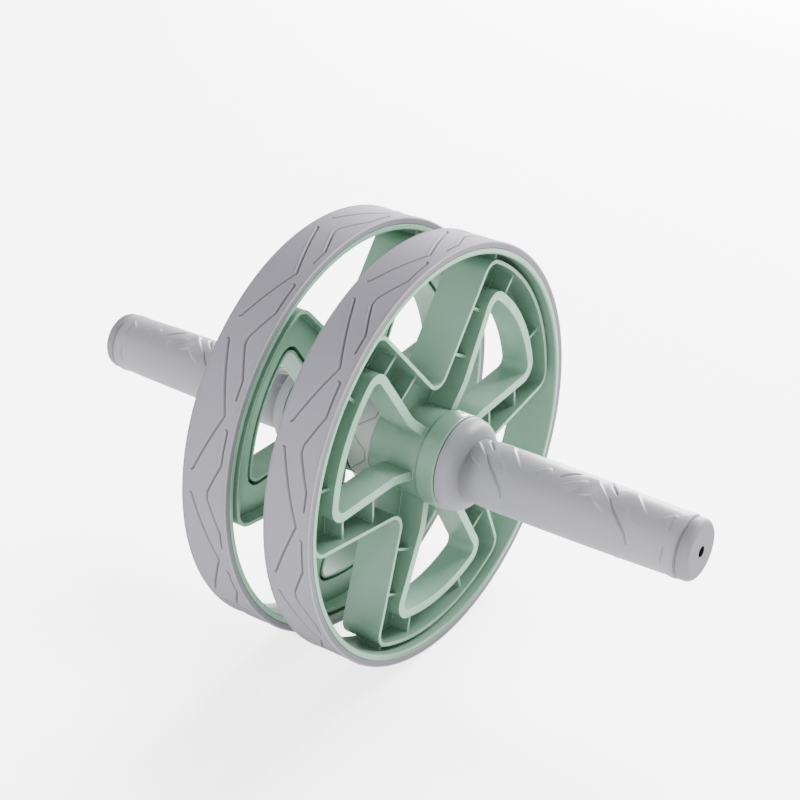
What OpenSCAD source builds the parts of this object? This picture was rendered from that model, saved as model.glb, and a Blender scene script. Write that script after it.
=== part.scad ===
// Ab wheel roller with two rubber-tyred wheels that turn on a steel tube between two grips.
// The axle lies along Y through the origin, the right side is -Y, and Z is up.

/* [Overall] */
// Length over the two end caps
overall_l = 309; // [290:1:340]
// Diameter over the tyres
wheel_d = 190; // [176:1:220]
// Width of a wheel
wheel_w = 23; // [21:0.5:30]
// Gap between the inner faces of the two wheels
wheel_gap = 19.6; // [16:0.2:26]

/* [Tyre and rim] */
// Thickness of the tyre
tyre_t = 3.2; // [2.4:0.1:5]
// Rounding of the tyre's edges
tyre_edge_r = 0.9; // [0.4:0.1:1.2]
// Thickness of the rim under the tyre
rim_t = 2.4; // [2:0.1:4]
// Width of the tyre's inner rib, which sits in a groove of the rim
key_w = 8; // [4:0.5:14]
// Height of that rib
key_h = 0.8; // [0.4:0.1:1.2]
// Chamfer on the rim's inner edges
rim_chamfer = 0.5; // [0.2:0.1:0.8]

/* [Lobed wall] */
// Angle of the first lobe from the X axis
lobe_turn = 31.4; // [0:0.1:120]
// Thickness of the wall round the lobes
wall_t = 1.6; // [1.2:0.1:2.4]
// How far the lobe and window walls stay below the rim's outer face
wall_drop = 3.5; // [2:0.1:6]
// Gap between the lobes and the rim
channel_w = 2.4; // [1.6:0.1:4]
// Angle between a lobe's sides and its middle line
side_angle = 20; // [17:0.5:23]
// Distance of a lobe's side lines from the axle
side_offset = 19.3; // [17.5:0.1:22]
// Rounding of the lobes' outer corners
lobe_corner_r = 7; // [5:0.5:10]
// Rounding of the valleys between the lobes
valley_r = 7; // [5:0.5:9]

/* [Web] */
// Thickness of the web
web_t = 2; // [1.5:0.1:3]
// Depth of the web behind the wheel's inner face
web_recess = 5.6; // [4:0.1:8]

/* [Windows] */
// Width of the pocket between a lobe's rim side and its window
pocket_w = 10; // [8:0.5:14]
// Width of the band round a window
band_w = 4; // [3.4:0.1:5]
// Wall thickness of that band, which is hollow from behind
band_skin = 1.2; // [1:0.1:1.4]
// Thickness of the band's outer edge
band_cap = 1.8; // [1.2:0.1:3]
// Angle between a window's sides and its middle line
window_angle = 27.6; // [25:0.2:30]
// How far the middle lines of the band's arms pass behind the axle
arm_offset = 2.9; // [2:0.1:4]
// Angle of the arms' inner ends, at the hub
neck_angle = 13.4; // [10:0.2:20]
// How far the middle lines of those inner ends pass in front of the axle
neck_offset = 5.2; // [4.5:0.1:6]
// Bend radius between an arm and its inner end
neck_bend_r = 25; // [15:1:30]
// Rounding of the windows' corners, along the middle of the band
window_corner_r = 6; // [4.5:0.5:9]

/* [Ribs] */
// Thickness of the ribs
rib_t = 1.2; // [1:0.1:1.8]
// How far the ribs stay below the walls
rib_drop = 3; // [1.5:0.1:5]
// Place of the inner ribs along a window's arm, from the axle
inner_rib_at = 43.4; // [38:0.1:48]
// Place of the outer ribs along a window's arm, from the axle
outer_rib_at = 64.2; // [56:0.1:66]
// Angle of the end ribs from a lobe's middle line
end_rib_angle = 14; // [8:0.5:17]
// Angle of the channel's two ends from a lobe's middle line
channel_angle = 27.5; // [24:0.5:29]

/* [Hub] */
// Diameter of the hub barrel
hub_d = 40; // [38:0.5:44]
// Wall thickness of the hub barrel
barrel_wall = 2.6; // [2:0.1:3]
// Wall thickness round the bushes' flanges
sleeve_wall = 1.2; // [1:0.1:1.4]
// Place of the floor of the hub's cored ring, from the wheel's inner face
core_floor = 5; // [2:0.5:10]
// Length by which the barrel stands out of the inner face
hub_inner_l = 3.1; // [1:0.1:5]
// Depth of the barrel's outer end below the rim's outer face
hub_outer_drop = 1.8; // [1:0.1:3]
// Length of a bush without its flange
bush_l = 9; // [6:0.5:10]
// Wall thickness of a bush
bush_wall = 2.95; // [2:0.05:4]
// Height of a bush's flange over its wall
bush_flange_h = 2.4; // [1.5:0.1:2.6]
// Thickness of a bush's flange
bush_flange_t = 1.5; // [1:0.1:2]
// How far a bush's flange stands out of its seat
bush_proud = 0.2; // [0.1:0.05:0.4]
// Diameter of the hub cover
cover_d = 42; // [40:0.5:46]
// Length of the hub cover
cover_l = 9.2; // [8:0.1:12]
// Wall thickness of the hub cover
cover_wall = 2.2; // [1.6:0.1:3]
// Thickness of the skirts of the hub cover and the end cap
skirt_t = 1.4; // [1:0.1:1.6]
// Length of the hub cover's skirt
skirt_l = 2.2; // [1.5:0.1:4]
// Rounding of the hub cover's edges
cover_edge_r = 0.8; // [0.4:0.1:1.2]

/* [Axle] */
// Diameter of the axle tube
axle_d = 16; // [14:0.5:18]
// Wall thickness of the axle tube
axle_wall = 2; // [1.5:0.1:2.5]
// Distance of the axle tube's ends from the ends of the roller
axle_inset = 14.5; // [13:0.5:20]
// Thickness of the retaining rings
ring_t = 1.2; // [1:0.1:1.5]
// Height of the retaining rings over the axle
ring_h = 3; // [2:0.1:3.4]
// Depth of the axle's grooves for the rings
groove_depth = 0.6; // [0.4:0.1:0.8]
// Opening of a retaining ring
ring_gap = 6; // [4:0.5:8]
// Thickness of the thrust washers
washer_t = 1; // [0.8:0.1:1.5]
// Width of the thrust washers' rings
washer_w = 5; // [4:0.1:5.2]
// How far the centre spacer stays below the hub barrels
spacer_step = 0.4; // [0.2:0.1:1.5]
// Wall thickness of the centre spacer
spacer_wall = 2; // [1.6:0.1:3]

/* [Handles] */
// How far the dome next to the wheel stays below the hub cover
dome_step = 0.4; // [0.2:0.1:1.5]
// Length of the dome
dome_l = 8.5; // [7:0.5:14]
// Length of the straight rim at the dome's wide end
dome_lip = 1; // [0.5:0.1:2]
// Largest diameter of the grip
grip_d = 29; // [27.6:0.1:32]
// Diameter of the grip's outer end
grip_end_d = 26.8; // [26:0.1:27.4]
// Place of the largest diameter, from the dome
belly_at = 26.5; // [5:0.5:35]
// Thickness of the handle core's shoulder, which the end washer rests on
shoulder_t = 2; // [1.5:0.1:3]
// Wall thickness of the handle core
core_wall = 3; // [2.5:0.1:3.4]
// Thickness of the handle core's flange
flange_t = 2.2; // [1.6:0.1:3]
// Thickness of the grip over the flange's edge
dome_skin = 2; // [1.5:0.1:3]
// Diameter of the end cap
cap_d = 26.4; // [25:0.1:27]
// Thickness of the end cap
cap_t = 5.2; // [4.4:0.1:7]
// Rounding of the end cap's outer edge
cap_edge_r = 2.8; // [0.8:0.1:3]
// Width of the seam between grip and end cap
seam_w = 0.4; // [0.3:0.05:0.8]
// Rounding of the two edges at that seam
seam_r = 1; // [0.5:0.1:1.2]
// Diameter of the end cap's hole
vent_d = 4.6; // [3:0.1:6]

/* [End fixings] */
// Thread diameter of the end screws
screw_d = 6; // [5:0.5:6.5]
// Length of an end screw under its head
screw_l = 16; // [14:1:18]
// Diameter of an end screw's head
screw_head_d = 11; // [10:0.5:12]
// Height of an end screw's head
screw_head_h = 3.4; // [3:0.1:3.6]
// Width of the hexagon socket over its corners
socket_d = 4.6; // [4:0.1:5.5]
// Depth of the hexagon socket
socket_depth = 2; // [1.5:0.1:2.4]
// Outer diameter of an end washer
end_washer_d = 14; // [13:0.5:15]
// Thickness of an end washer
end_washer_t = 1; // [0.8:0.1:1.2]
// Length of the threaded plug in the axle's end
plug_l = 14; // [12:1:18]

/* [Fits] */
// Radial running clearance of the bushes on the axle
running_fit = 0.05; // [0.02:0.01:0.1]
// Gap between the bushes' flanges and what stops them
side_gap = 0.3; // [0.2:0.05:0.4]
// Gap between the hub cover and the dome
cover_gap = 0.4; // [0.3:0.05:0.6]
// Radial clearance of the handle core's nose in the hub cover
nose_gap = 0.8; // [0.5:0.1:1]
// Radial clearance of loose pieces that do not turn
loose_fit = 0.05; // [0.02:0.01:0.1]
// Radial clearance of the end washers in the handle cores
end_washer_gap = 0.5; // [0.2:0.1:0.8]
// Radial clearance of the end screws in their washers and shoulders
screw_gap = 0.3; // [0.1:0.1:0.5]
// Gap between an end screw's head and the end cap's skirt
head_gap = 0.2; // [0.1:0.05:0.4]

/* [Hidden] */
$fn = 96;

mint = [0.62, 0.72, 0.66];
lilac_grey = [0.68, 0.67, 0.69];
steel = [0.75, 0.76, 0.78];
nylon = [0.9, 0.9, 0.87];

// Overlap of cutting tools past the faces they cut
cut = 1;
lobes = 3;
lobe_pitch = 360 / lobes;
half_pitch = lobe_pitch / 2;

// Radii and heights of the wheel, whose own frame has its inner face at z = 0 and its outer face up
wheel_r = wheel_d / 2;
rim_r = wheel_r - tyre_t;
rim_inner_r = rim_r - rim_t;
lobe_r = rim_inner_r - channel_w - wall_t / 2;
band_r = lobe_r - wall_t / 2 - pocket_w - band_w / 2;
wall_top = wheel_w - wall_drop;
rib_top = wall_top - rib_drop;
hub_r = hub_d / 2;
hub_bottom = -hub_inner_l;
hub_top = wheel_w - hub_outer_drop;
bush_r = axle_d / 2 + running_fit + bush_wall;
bush_flange_r = bush_r + bush_flange_h;
sleeve_r = bush_flange_r + sleeve_wall;
core_ribs = 6;

// Places along the axle, counted outwards from the middle of the roller
wheel_at = wheel_gap / 2;
hub_in_at = wheel_at + hub_bottom;
hub_out_at = wheel_at + hub_top;
spacer_half = hub_in_at - bush_proud - side_gap;
spacer_r = hub_r - spacer_step;
washer_at = hub_out_at + bush_proud + side_gap;
ring_at = washer_at + washer_t;
nose_at = ring_at + ring_t + loose_fit;
cover_end_at = hub_out_at + cover_l;
dome_at = cover_end_at + cover_gap;
grip_at = dome_at + dome_l;
end_at = overall_l / 2;
cap_at = end_at - cap_t;
grip_end_at = cap_at - seam_w;
axle_end = end_at - axle_inset;
axle_r = axle_d / 2;

// Handle and end fixings
core_r = axle_r + core_wall;
dome_r = cover_d / 2 - dome_step;
flange_r = dome_r - dome_skin;
grip_r = grip_d / 2;
grip_end_r = grip_end_d / 2;
belly_s = grip_at + belly_at;
belly_curve = pow(grip_end_at - belly_s, 2) / (grip_r - grip_end_r);
recess_at = axle_end + loose_fit + shoulder_t;
recess_r = end_washer_d / 2 + end_washer_gap;
nose_r = core_r;
plug_tap_d = screw_d - 1;

// A point p turned by a degrees about the origin
function turned(p, a) = [p.x * cos(a) - p.y * sin(a), p.x * sin(a) + p.y * cos(a)];

// Points of an arc about c from angle a0 to a1
function arc(c, r, a0, a1, steps) = [for (i = [0:steps]) c + r * turned([1, 0], a0 + (a1 - a0) * i / steps)];

// Angle of the corner circle's centre, where a side line meets the outer arc of a lobe
function corner_at(arc_r, offset, angle, corner_r) =
  90 + angle - acos((offset - corner_r) / (arc_r - corner_r));

// The outer end of a lobe about the X axis, grown by d: corner, outer arc and corner
function lobe_end(arc_r, offset, angle, corner_r, d) =
  let (a = corner_at(arc_r, offset, angle, corner_r), m = arc_r - corner_r)
  concat(
    arc(m * turned([1, 0], -a), corner_r + d, -90 - angle, -a, 10),
    arc([0, 0], arc_r + d, -a, a, 20),
    arc(m * turned([1, 0], a), corner_r + d, a, 90 + angle, 10)
  );

// The rounded valley between two lobes, grown by d
function valley(offset, angle, r, d) =
  let (centre_r = (offset + r) / cos(90 + angle - half_pitch))
  arc(centre_r * turned([1, 0], half_pitch), r - d, 270 + angle, 2 * half_pitch + 90 - angle, 10);

// Outline of the three lobes, grown by d from the middle line of their wall
module lobed_outline(d) {
  one_lobe = concat(
    lobe_end(lobe_r, side_offset, side_angle, lobe_corner_r, d),
    valley(side_offset, side_angle, valley_r, d)
  );
  polygon([for (i = [0:lobes - 1]) for (p = one_lobe) turned(p, i * lobe_pitch)]);
}

// The point where two lines meet, each given by its normal's angle and its distance from the origin
function meet(a, p, b, q) = [p * sin(b) - q * sin(a), q * cos(a) - p * cos(b)] / sin(b - a);

// The three window outlines, grown by d from the middle line of their band, with arms that end in the hub
module window_outlines(d) {
  arm_normal = 90 + window_angle;
  neck_normal = 90 + neck_angle;
  neck_end = hub_r * 0.7;
  bend = meet(arm_normal, neck_bend_r - arm_offset, neck_normal, neck_bend_r + neck_offset);
  upper_neck = concat(
    arc(bend, neck_bend_r - d, arm_normal + 180, neck_normal + 180, 4),
    [turned([neck_end, neck_offset + d], neck_angle)]
  );
  lower_neck = [for (i = [len(upper_neck) - 1:-1:0]) [upper_neck[i].x, -upper_neck[i].y]];
  outline = concat(lower_neck, lobe_end(band_r, -arm_offset, window_angle, window_corner_r, d), upper_neck);
  for (i = [0:lobes - 1]) {
    rotate(i * lobe_pitch) polygon(outline);
  }
}

// A flat bar along the radius, from r0 to r1
module radial_bar(r0, r1, t) {
  translate([r0, -t / 2]) square([r1 - r0, t]);
}

// A wedge about the X axis, reaching past the rim
module wedge(half_angle) {
  polygon([[0, 0], wheel_r * turned([1, 0], -half_angle), [wheel_r, 0], wheel_r * turned([1, 0], half_angle)]);
}

// A flat ring
module ring(r_out, r_in) {
  difference() {
    circle(r_out);
    circle(r_in);
  }
}

// A tube standing on z = z0
module tube(r_out, r_in, z0, z1) {
  translate([0, 0, z0]) linear_extrude(z1 - z0) ring(r_out, r_in);
}

// The ribs inside the lobes: two square to each arm of a window, and two along the radius at its end
module rib_plan() {
  intersection() {
    lobed_outline(0);
    for (i = [0:lobes - 1], side = [0, 1], at = [inner_rib_at, outer_rib_at]) {
      rotate(i * lobe_pitch) mirror([0, side]) rotate(window_angle)
        translate([at - rib_t / 2, -arm_offset]) square([rib_t, lobe_r / 2]);
    }
  }
  for (i = [0:lobes - 1], side = [-1, 1]) {
    rotate(i * lobe_pitch + side * end_rib_angle) radial_bar(band_r, lobe_r, rib_t);
  }
}

// The channel's floor between the lobes and the rim
module channel_plan() {
  for (i = [0:lobes - 1]) {
    rotate(i * lobe_pitch) intersection() {
      difference() {
        circle(rim_inner_r + rim_t / 2);
        lobed_outline(0);
      }
      wedge(channel_angle);
    }
  }
}

// The stop walls at the channel's ends
module channel_ends() {
  for (i = [0:lobes - 1], side = [-1, 1]) {
    rotate(i * lobe_pitch + side * channel_angle) radial_bar(lobe_r, rim_inner_r + rim_t / 2, rib_t);
  }
}

// The rim with its groove for the tyre's rib
module rim() {
  c = rim_chamfer;
  groove_r = rim_r - key_h;
  key_z = (wheel_w - key_w) / 2;
  rotate_extrude($fn = 180) polygon([
    [rim_inner_r + c, 0], [rim_r, 0], [rim_r, key_z], [groove_r, key_z],
    [groove_r, key_z + key_w], [rim_r, key_z + key_w], [rim_r, wheel_w],
    [rim_inner_r + c, wheel_w], [rim_inner_r, wheel_w - c], [rim_inner_r, c]
  ]);
}

// The hub barrel: bush seats in an inner sleeve, a cored ring round it and ribs across the ring
module hub() {
  difference() {
    translate([0, 0, hub_bottom]) cylinder(r = hub_r, h = hub_top - hub_bottom);
    tube(hub_r - barrel_wall, sleeve_r, core_floor, hub_top + cut);
    translate([0, 0, hub_bottom - cut]) cylinder(r = bush_r, h = hub_top - hub_bottom + 2 * cut);
    translate([0, 0, hub_bottom - cut]) cylinder(r = bush_flange_r, h = bush_flange_t - bush_proud + cut);
    translate([0, 0, hub_top - bush_flange_t + bush_proud]) cylinder(r = bush_flange_r, h = bush_flange_t + cut);
  }
  translate([0, 0, core_floor - cut]) linear_extrude(hub_top - skirt_l - cut - core_floor + cut)
    for (i = [0:core_ribs - 1]) {
      rotate(i * 360 / core_ribs) radial_bar(sleeve_r - cut / 2, hub_r - cut, rib_t);
    }
}

// The whole moulded wheel core in its own frame
module wheel_core() {
  band_height = wall_top - web_recess;
  difference() {
    union() {
      rim();
      hub();
      rotate(lobe_turn) {
        linear_extrude(wall_top) difference() {
          lobed_outline(wall_t / 2);
          lobed_outline(-wall_t / 2);
          circle(hub_r - cut);
        }
        translate([0, 0, web_recess]) linear_extrude(web_t) difference() {
          union() {
            lobed_outline(0);
            channel_plan();
          }
          window_outlines(-band_w / 2);
          circle(hub_r - cut);
        }
        translate([0, 0, web_recess]) linear_extrude(band_height) difference() {
          window_outlines(band_w / 2);
          window_outlines(-band_w / 2);
          circle(hub_r - cut);
        }
        translate([0, 0, web_recess]) linear_extrude(rib_top - web_recess) {
          rib_plan();
          channel_ends();
        }
      }
    }
    translate([0, 0, web_recess - cut]) rotate(lobe_turn)
      linear_extrude(band_height - band_cap + cut) difference() {
        window_outlines(band_w / 2 - band_skin);
        window_outlines(band_skin - band_w / 2);
        circle(hub_r + band_skin);
      }
  }
}

// The tyre in the wheel's own frame
module tyre() {
  r = tyre_edge_r;
  key_z = (wheel_w - key_w) / 2;
  key_r = rim_r - key_h;
  rotate_extrude($fn = 180) polygon(concat(
    [[rim_r, 0]],
    arc([wheel_r - r, r], r, -90, 0, 5),
    arc([wheel_r - r, wheel_w - r], r, 0, 90, 5),
    [[rim_r, wheel_w], [rim_r, key_z + key_w], [key_r, key_z + key_w], [key_r, key_z], [rim_r, key_z]]
  ));
}

// A flanged bush with its flange at the bottom
module bush() {
  bore_r = axle_r + running_fit;
  tube(bush_flange_r, bore_r, 0, bush_flange_t);
  tube(bush_r, bore_r, 0, bush_flange_t + bush_l);
}

module inner_bush() {
  translate([0, 0, hub_in_at - bush_proud]) bush();
}

module outer_bush() {
  translate([0, 0, hub_out_at + bush_proud]) mirror([0, 0, 1]) bush();
}

// The cover on the hub's outer end, with a skirt that plugs into the cored ring
module hub_cover() {
  r = cover_d / 2;
  e = cover_edge_r;
  skirt_r = hub_r - barrel_wall - loose_fit;
  rotate_extrude() polygon(concat(
    [[skirt_r - skirt_t, hub_out_at - skirt_l], [skirt_r, hub_out_at - skirt_l], [skirt_r, hub_out_at]],
    arc([r - e, hub_out_at + e], e, -90, 0, 4),
    arc([r - e, cover_end_at - e], e, 0, 90, 4),
    [
      [nose_r + nose_gap, cover_end_at], [nose_r + nose_gap, cover_end_at - cover_wall],
      [skirt_r - skirt_t, cover_end_at - cover_wall]
    ]
  ));
}

module axle() {
  difference() {
    tube(axle_r, axle_r - axle_wall, -axle_end, axle_end);
    for (side = [0, 1]) {
      mirror([0, 0, side]) tube(axle_r + cut, axle_r - groove_depth, ring_at, ring_at + ring_t);
    }
  }
}

// The spacer between the wheels: an outer wall, a sleeve on the axle and a middle web
module spacer() {
  r = spacer_r;
  sleeve = axle_r + spacer_wall;
  half_web = spacer_wall / 2;
  rotate_extrude() polygon([
    [axle_r, -spacer_half], [sleeve, -spacer_half], [sleeve, -half_web], [r - spacer_wall, -half_web],
    [r - spacer_wall, -spacer_half], [r, -spacer_half], [r, spacer_half], [r - spacer_wall, spacer_half],
    [r - spacer_wall, half_web], [sleeve, half_web], [sleeve, spacer_half], [axle_r, spacer_half]
  ]);
}

module thrust_washer() {
  tube(axle_r + loose_fit + washer_w, axle_r + loose_fit, washer_at, washer_at + washer_t);
}

// An open ring in the axle's groove
module retaining_ring() {
  groove_r = axle_r - groove_depth;
  translate([0, 0, ring_at]) linear_extrude(ring_t) difference() {
    ring(axle_r + ring_h, groove_r);
    translate([0, -ring_gap / 2]) square([axle_r + ring_h + cut, ring_gap]);
  }
}

// The rigid core of a handle: nose, flange, sleeve over the axle and end recess for the screw
module handle_core() {
  shoulder_at = recess_at - shoulder_t;
  difference() {
    union() {
      translate([0, 0, nose_at]) cylinder(r = core_r, h = grip_end_at - nose_at);
      translate([0, 0, dome_at]) cylinder(r = flange_r, h = flange_t);
    }
    translate([0, 0, nose_at - cut]) cylinder(r = axle_r, h = shoulder_at - nose_at + cut);
    translate([0, 0, shoulder_at - cut]) cylinder(r = screw_d / 2 + screw_gap, h = shoulder_t + 2 * cut);
    translate([0, 0, recess_at]) cylinder(r = recess_r, h = grip_end_at - recess_at + cut);
  }
}

// Radius of the grip at a place along the axle
function grip_radius(s) = grip_r - pow(s - belly_s, 2) / belly_curve;

// The soft grip: a dome over the flange, a slightly bellied and tapered sleeve, and a rounded end
module grip() {
  neck_r = grip_radius(grip_at);
  dome_fall = dome_r - neck_r;
  dome_run = dome_l - dome_lip;
  round_at = grip_end_at - seam_r;
  sleeve_l = round_at - grip_at;
  steps = 12;
  rotate_extrude() polygon(concat(
    [[flange_r, dome_at], [dome_r, dome_at]],
    [for (i = [0:steps]) [
      neck_r + dome_fall * cos(90 * i / steps),
      dome_at + dome_lip + dome_run * sin(90 * i / steps)
    ]],
    [for (i = [1:steps - 1]) [grip_radius(grip_at + sleeve_l * i / steps), grip_at + sleeve_l * i / steps]],
    arc([grip_radius(round_at) - seam_r, round_at], seam_r, 0, 90, 5),
    [[core_r, grip_end_at], [core_r, dome_at + flange_t], [flange_r, dome_at + flange_t]]
  ));
}

module axle_plug() {
  tube(axle_r - axle_wall, plug_tap_d / 2, axle_end - plug_l, axle_end);
}

module end_washer() {
  tube(end_washer_d / 2, screw_d / 2 + screw_gap, recess_at, recess_at + end_washer_t);
}

// A pan-head screw, with its shank as wide as the tapped hole where it is in the plug
module end_screw() {
  head_at = recess_at + end_washer_t;
  difference() {
    union() {
      translate([0, 0, head_at - screw_l]) cylinder(d = plug_tap_d, h = screw_l);
      translate([0, 0, axle_end + loose_fit]) cylinder(d = screw_d, h = head_at - axle_end - loose_fit);
      translate([0, 0, head_at]) cylinder(d = screw_head_d, h = screw_head_h);
    }
    translate([0, 0, head_at + screw_head_h - socket_depth]) cylinder(d = socket_d, h = socket_depth + cut, $fn = 6);
  }
}

// The end cap: a disc with rounded edges, a skirt in the core's recess and a hole through its middle
module end_cap() {
  r = cap_d / 2;
  skirt_r = recess_r - loose_fit;
  skirt_at = recess_at + end_washer_t + screw_head_h + head_gap;
  rotate_extrude() polygon(concat(
    [
      [vent_d / 2, cap_at], [skirt_r - skirt_t, cap_at], [skirt_r - skirt_t, skirt_at], [skirt_r, skirt_at],
      [skirt_r, grip_end_at + seam_w / 2], [core_r, grip_end_at + seam_w / 2], [core_r, cap_at]
    ],
    arc([r - seam_r, cap_at + seam_r], seam_r, -90, 0, 5),
    arc([r - cap_edge_r, end_at - cap_edge_r], cap_edge_r, 0, 90, 8),
    [[vent_d / 2, end_at]]
  ));
}

// Puts a piece that is drawn outwards along Z on the right or the left side
module on_right() {
  rotate([90, 0, 0]) children();
}

module on_left() {
  mirror([0, 1, 0]) on_right() children();
}

module at_wheel() {
  translate([0, 0, wheel_at]) children();
}

module axle_tube() { color(steel) on_right() axle(); }
module centre_spacer() { color(lilac_grey) on_right() spacer(); }

module right_wheel_core() { color(mint) on_right() at_wheel() wheel_core(); }
module right_tyre() { color(lilac_grey) on_right() at_wheel() tyre(); }
module right_hub_cover() { color(mint) on_right() hub_cover(); }
module right_inner_bush() { color(nylon) on_right() inner_bush(); }
module right_outer_bush() { color(nylon) on_right() outer_bush(); }
module left_wheel_core() { color(mint) on_left() at_wheel() wheel_core(); }
module left_tyre() { color(lilac_grey) on_left() at_wheel() tyre(); }
module left_hub_cover() { color(mint) on_left() hub_cover(); }
module left_inner_bush() { color(nylon) on_left() inner_bush(); }
module left_outer_bush() { color(nylon) on_left() outer_bush(); }

module right_thrust_washer() { color(nylon) on_right() thrust_washer(); }
module right_retaining_ring() { color(steel) on_right() retaining_ring(); }
module right_handle_core() { color(mint) on_right() handle_core(); }
module right_grip() { color(lilac_grey) on_right() grip(); }
module right_axle_plug() { color(steel) on_right() axle_plug(); }
module right_end_washer() { color(steel) on_right() end_washer(); }
module right_end_screw() { color(steel) on_right() end_screw(); }
module right_end_cap() { color(lilac_grey) on_right() end_cap(); }
module left_thrust_washer() { color(nylon) on_left() thrust_washer(); }
module left_retaining_ring() { color(steel) on_left() retaining_ring(); }
module left_handle_core() { color(mint) on_left() handle_core(); }
module left_grip() { color(lilac_grey) on_left() grip(); }
module left_axle_plug() { color(steel) on_left() axle_plug(); }
module left_end_washer() { color(steel) on_left() end_washer(); }
module left_end_screw() { color(steel) on_left() end_screw(); }
module left_end_cap() { color(lilac_grey) on_left() end_cap(); }

axle_tube();
centre_spacer();
right_wheel_core();
right_tyre();
right_hub_cover();
right_inner_bush();
right_outer_bush();
left_wheel_core();
left_tyre();
left_hub_cover();
left_inner_bush();
left_outer_bush();
right_thrust_washer();
right_retaining_ring();
right_handle_core();
right_grip();
right_axle_plug();
right_end_washer();
right_end_screw();
right_end_cap();
left_thrust_washer();
left_retaining_ring();
left_handle_core();
left_grip();
left_axle_plug();
left_end_washer();
left_end_screw();
left_end_cap();
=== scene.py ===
"""Looks of the ab wheel roller: tread lines, grip facets, plastics, rubber, steel, floor, light
and camera.

The axle lies along Y, and the near wheel and the near handle are on the -Y side. Lengths in the
constants are in millimetres and angles in degrees, unless a comment says metres. Every mesh is
made in metres.
"""
import math

import bpy
import numpy as np
from mathutils import Matrix, Vector


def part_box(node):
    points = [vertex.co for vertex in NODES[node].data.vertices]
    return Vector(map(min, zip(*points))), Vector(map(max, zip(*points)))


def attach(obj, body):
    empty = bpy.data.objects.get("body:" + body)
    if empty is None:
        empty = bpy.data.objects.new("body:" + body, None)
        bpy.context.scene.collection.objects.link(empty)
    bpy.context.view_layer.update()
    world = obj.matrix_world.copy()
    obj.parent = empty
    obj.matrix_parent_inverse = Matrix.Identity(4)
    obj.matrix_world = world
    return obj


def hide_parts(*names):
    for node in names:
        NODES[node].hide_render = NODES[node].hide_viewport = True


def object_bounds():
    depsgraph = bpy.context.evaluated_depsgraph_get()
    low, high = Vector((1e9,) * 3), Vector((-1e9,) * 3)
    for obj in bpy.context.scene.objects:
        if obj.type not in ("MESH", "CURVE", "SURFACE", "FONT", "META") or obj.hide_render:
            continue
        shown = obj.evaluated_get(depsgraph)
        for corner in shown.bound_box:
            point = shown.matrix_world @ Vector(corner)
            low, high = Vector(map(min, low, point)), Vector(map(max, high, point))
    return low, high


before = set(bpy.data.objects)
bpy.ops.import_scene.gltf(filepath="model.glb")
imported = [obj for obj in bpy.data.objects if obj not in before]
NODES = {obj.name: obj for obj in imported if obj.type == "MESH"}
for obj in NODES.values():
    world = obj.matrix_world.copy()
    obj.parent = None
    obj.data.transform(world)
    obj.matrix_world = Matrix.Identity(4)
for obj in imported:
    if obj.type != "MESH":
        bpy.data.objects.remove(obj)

CAD_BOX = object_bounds()
MM = 0.001

# Edges sharper than this stay sharp; a point nearer than one length is on a surface, and one
# further than the other is clear of it
SHARP_ANGLE = 40.0
NEAR = 0.01
CLEAR = 0.1

# Tyre: wall, rounded outer edges, chamfer beside the rim, and the painted shade of its sides and
# painted highlight of its edges
TYRE_WALL = 3.2
TYRE_EDGE = 0.7
TYRE_SEAM = 0.35
TYRE_SIDE_INSET = 0.25
TYRE_SIDE_SHADE = 0.45
TYRE_EDGE_HIGHLIGHT = 0.4
TYRE_TURN_STEPS = 1250
TYRE_TREAD_POINTS = 60
TYRE_EDGE_POINTS = 6

# Tread lines: points of (angle round the axle, distance from the tyre's -Y edge), repeated round
# the tyre. A low lip runs along both sides of each line, and a ridge along one side of some.
# Painted shade darkens each line by its depth, and a painted highlight lightens the lips.
TREAD_PITCH = 40.0
TREAD_LINES = [
    [(135.5, 4.5), (136.0, 3.5), (144.5, 3.5), (152.5, 9.5), (154.5, 9.5), (163.0, 3.5),
     (168.0, 3.5)],
    [(154.3, 18.5), (154.5, 17.8), (172.5, 6.6), (188.0, 17.8), (188.2, 18.5)],
]
FAR_TREAD_TURN = 20.2
TREAD_DEPTH = 1.0
TREAD_HALF_WIDTH = 0.52
LIP_HEIGHT = 0.08
LIP_OFFSET = 0.35
LIP_HALF_WIDTH = 0.4
LIP_HIGHLIGHT = 0.2
RIDGE_LINES = [[(154.5, 9.5), (163.0, 3.5)], [(154.5, 17.8), (172.5, 6.6)]]
RIDGE_HEIGHT = 0.3
RIDGE_OFFSET = 0.4
RIDGE_HALF_WIDTH = 0.6

# Grip: radii, and places along the handle from the middle of the roller
DOME_RADIUS = 20.6
DOME_START = 40.6
DOME_LENGTH = 8.5
DOME_LIP = 1.0
DOME_EDGE = 0.15
DOME_EDGE_POINTS = 4
DOME_POINTS = 26
GRIP_RADIUS = 14.5
GRIP_END_RADIUS = 13.4
GRIP_BELLY = 75.6
GRIP_END = 148.9
GRIP_END_ROUND = 1.0
GRIP_END_ANGLE = 80
GRIP_END_POINTS = 5
GRIP_SEAM = 0.3
GRIP_TURN_STEPS = 330
GRIP_SLEEVE_POINTS = 262
CORE_RADIUS = 11.0
FLANGE_RADIUS = 18.6
FLANGE_END = 42.8

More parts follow.
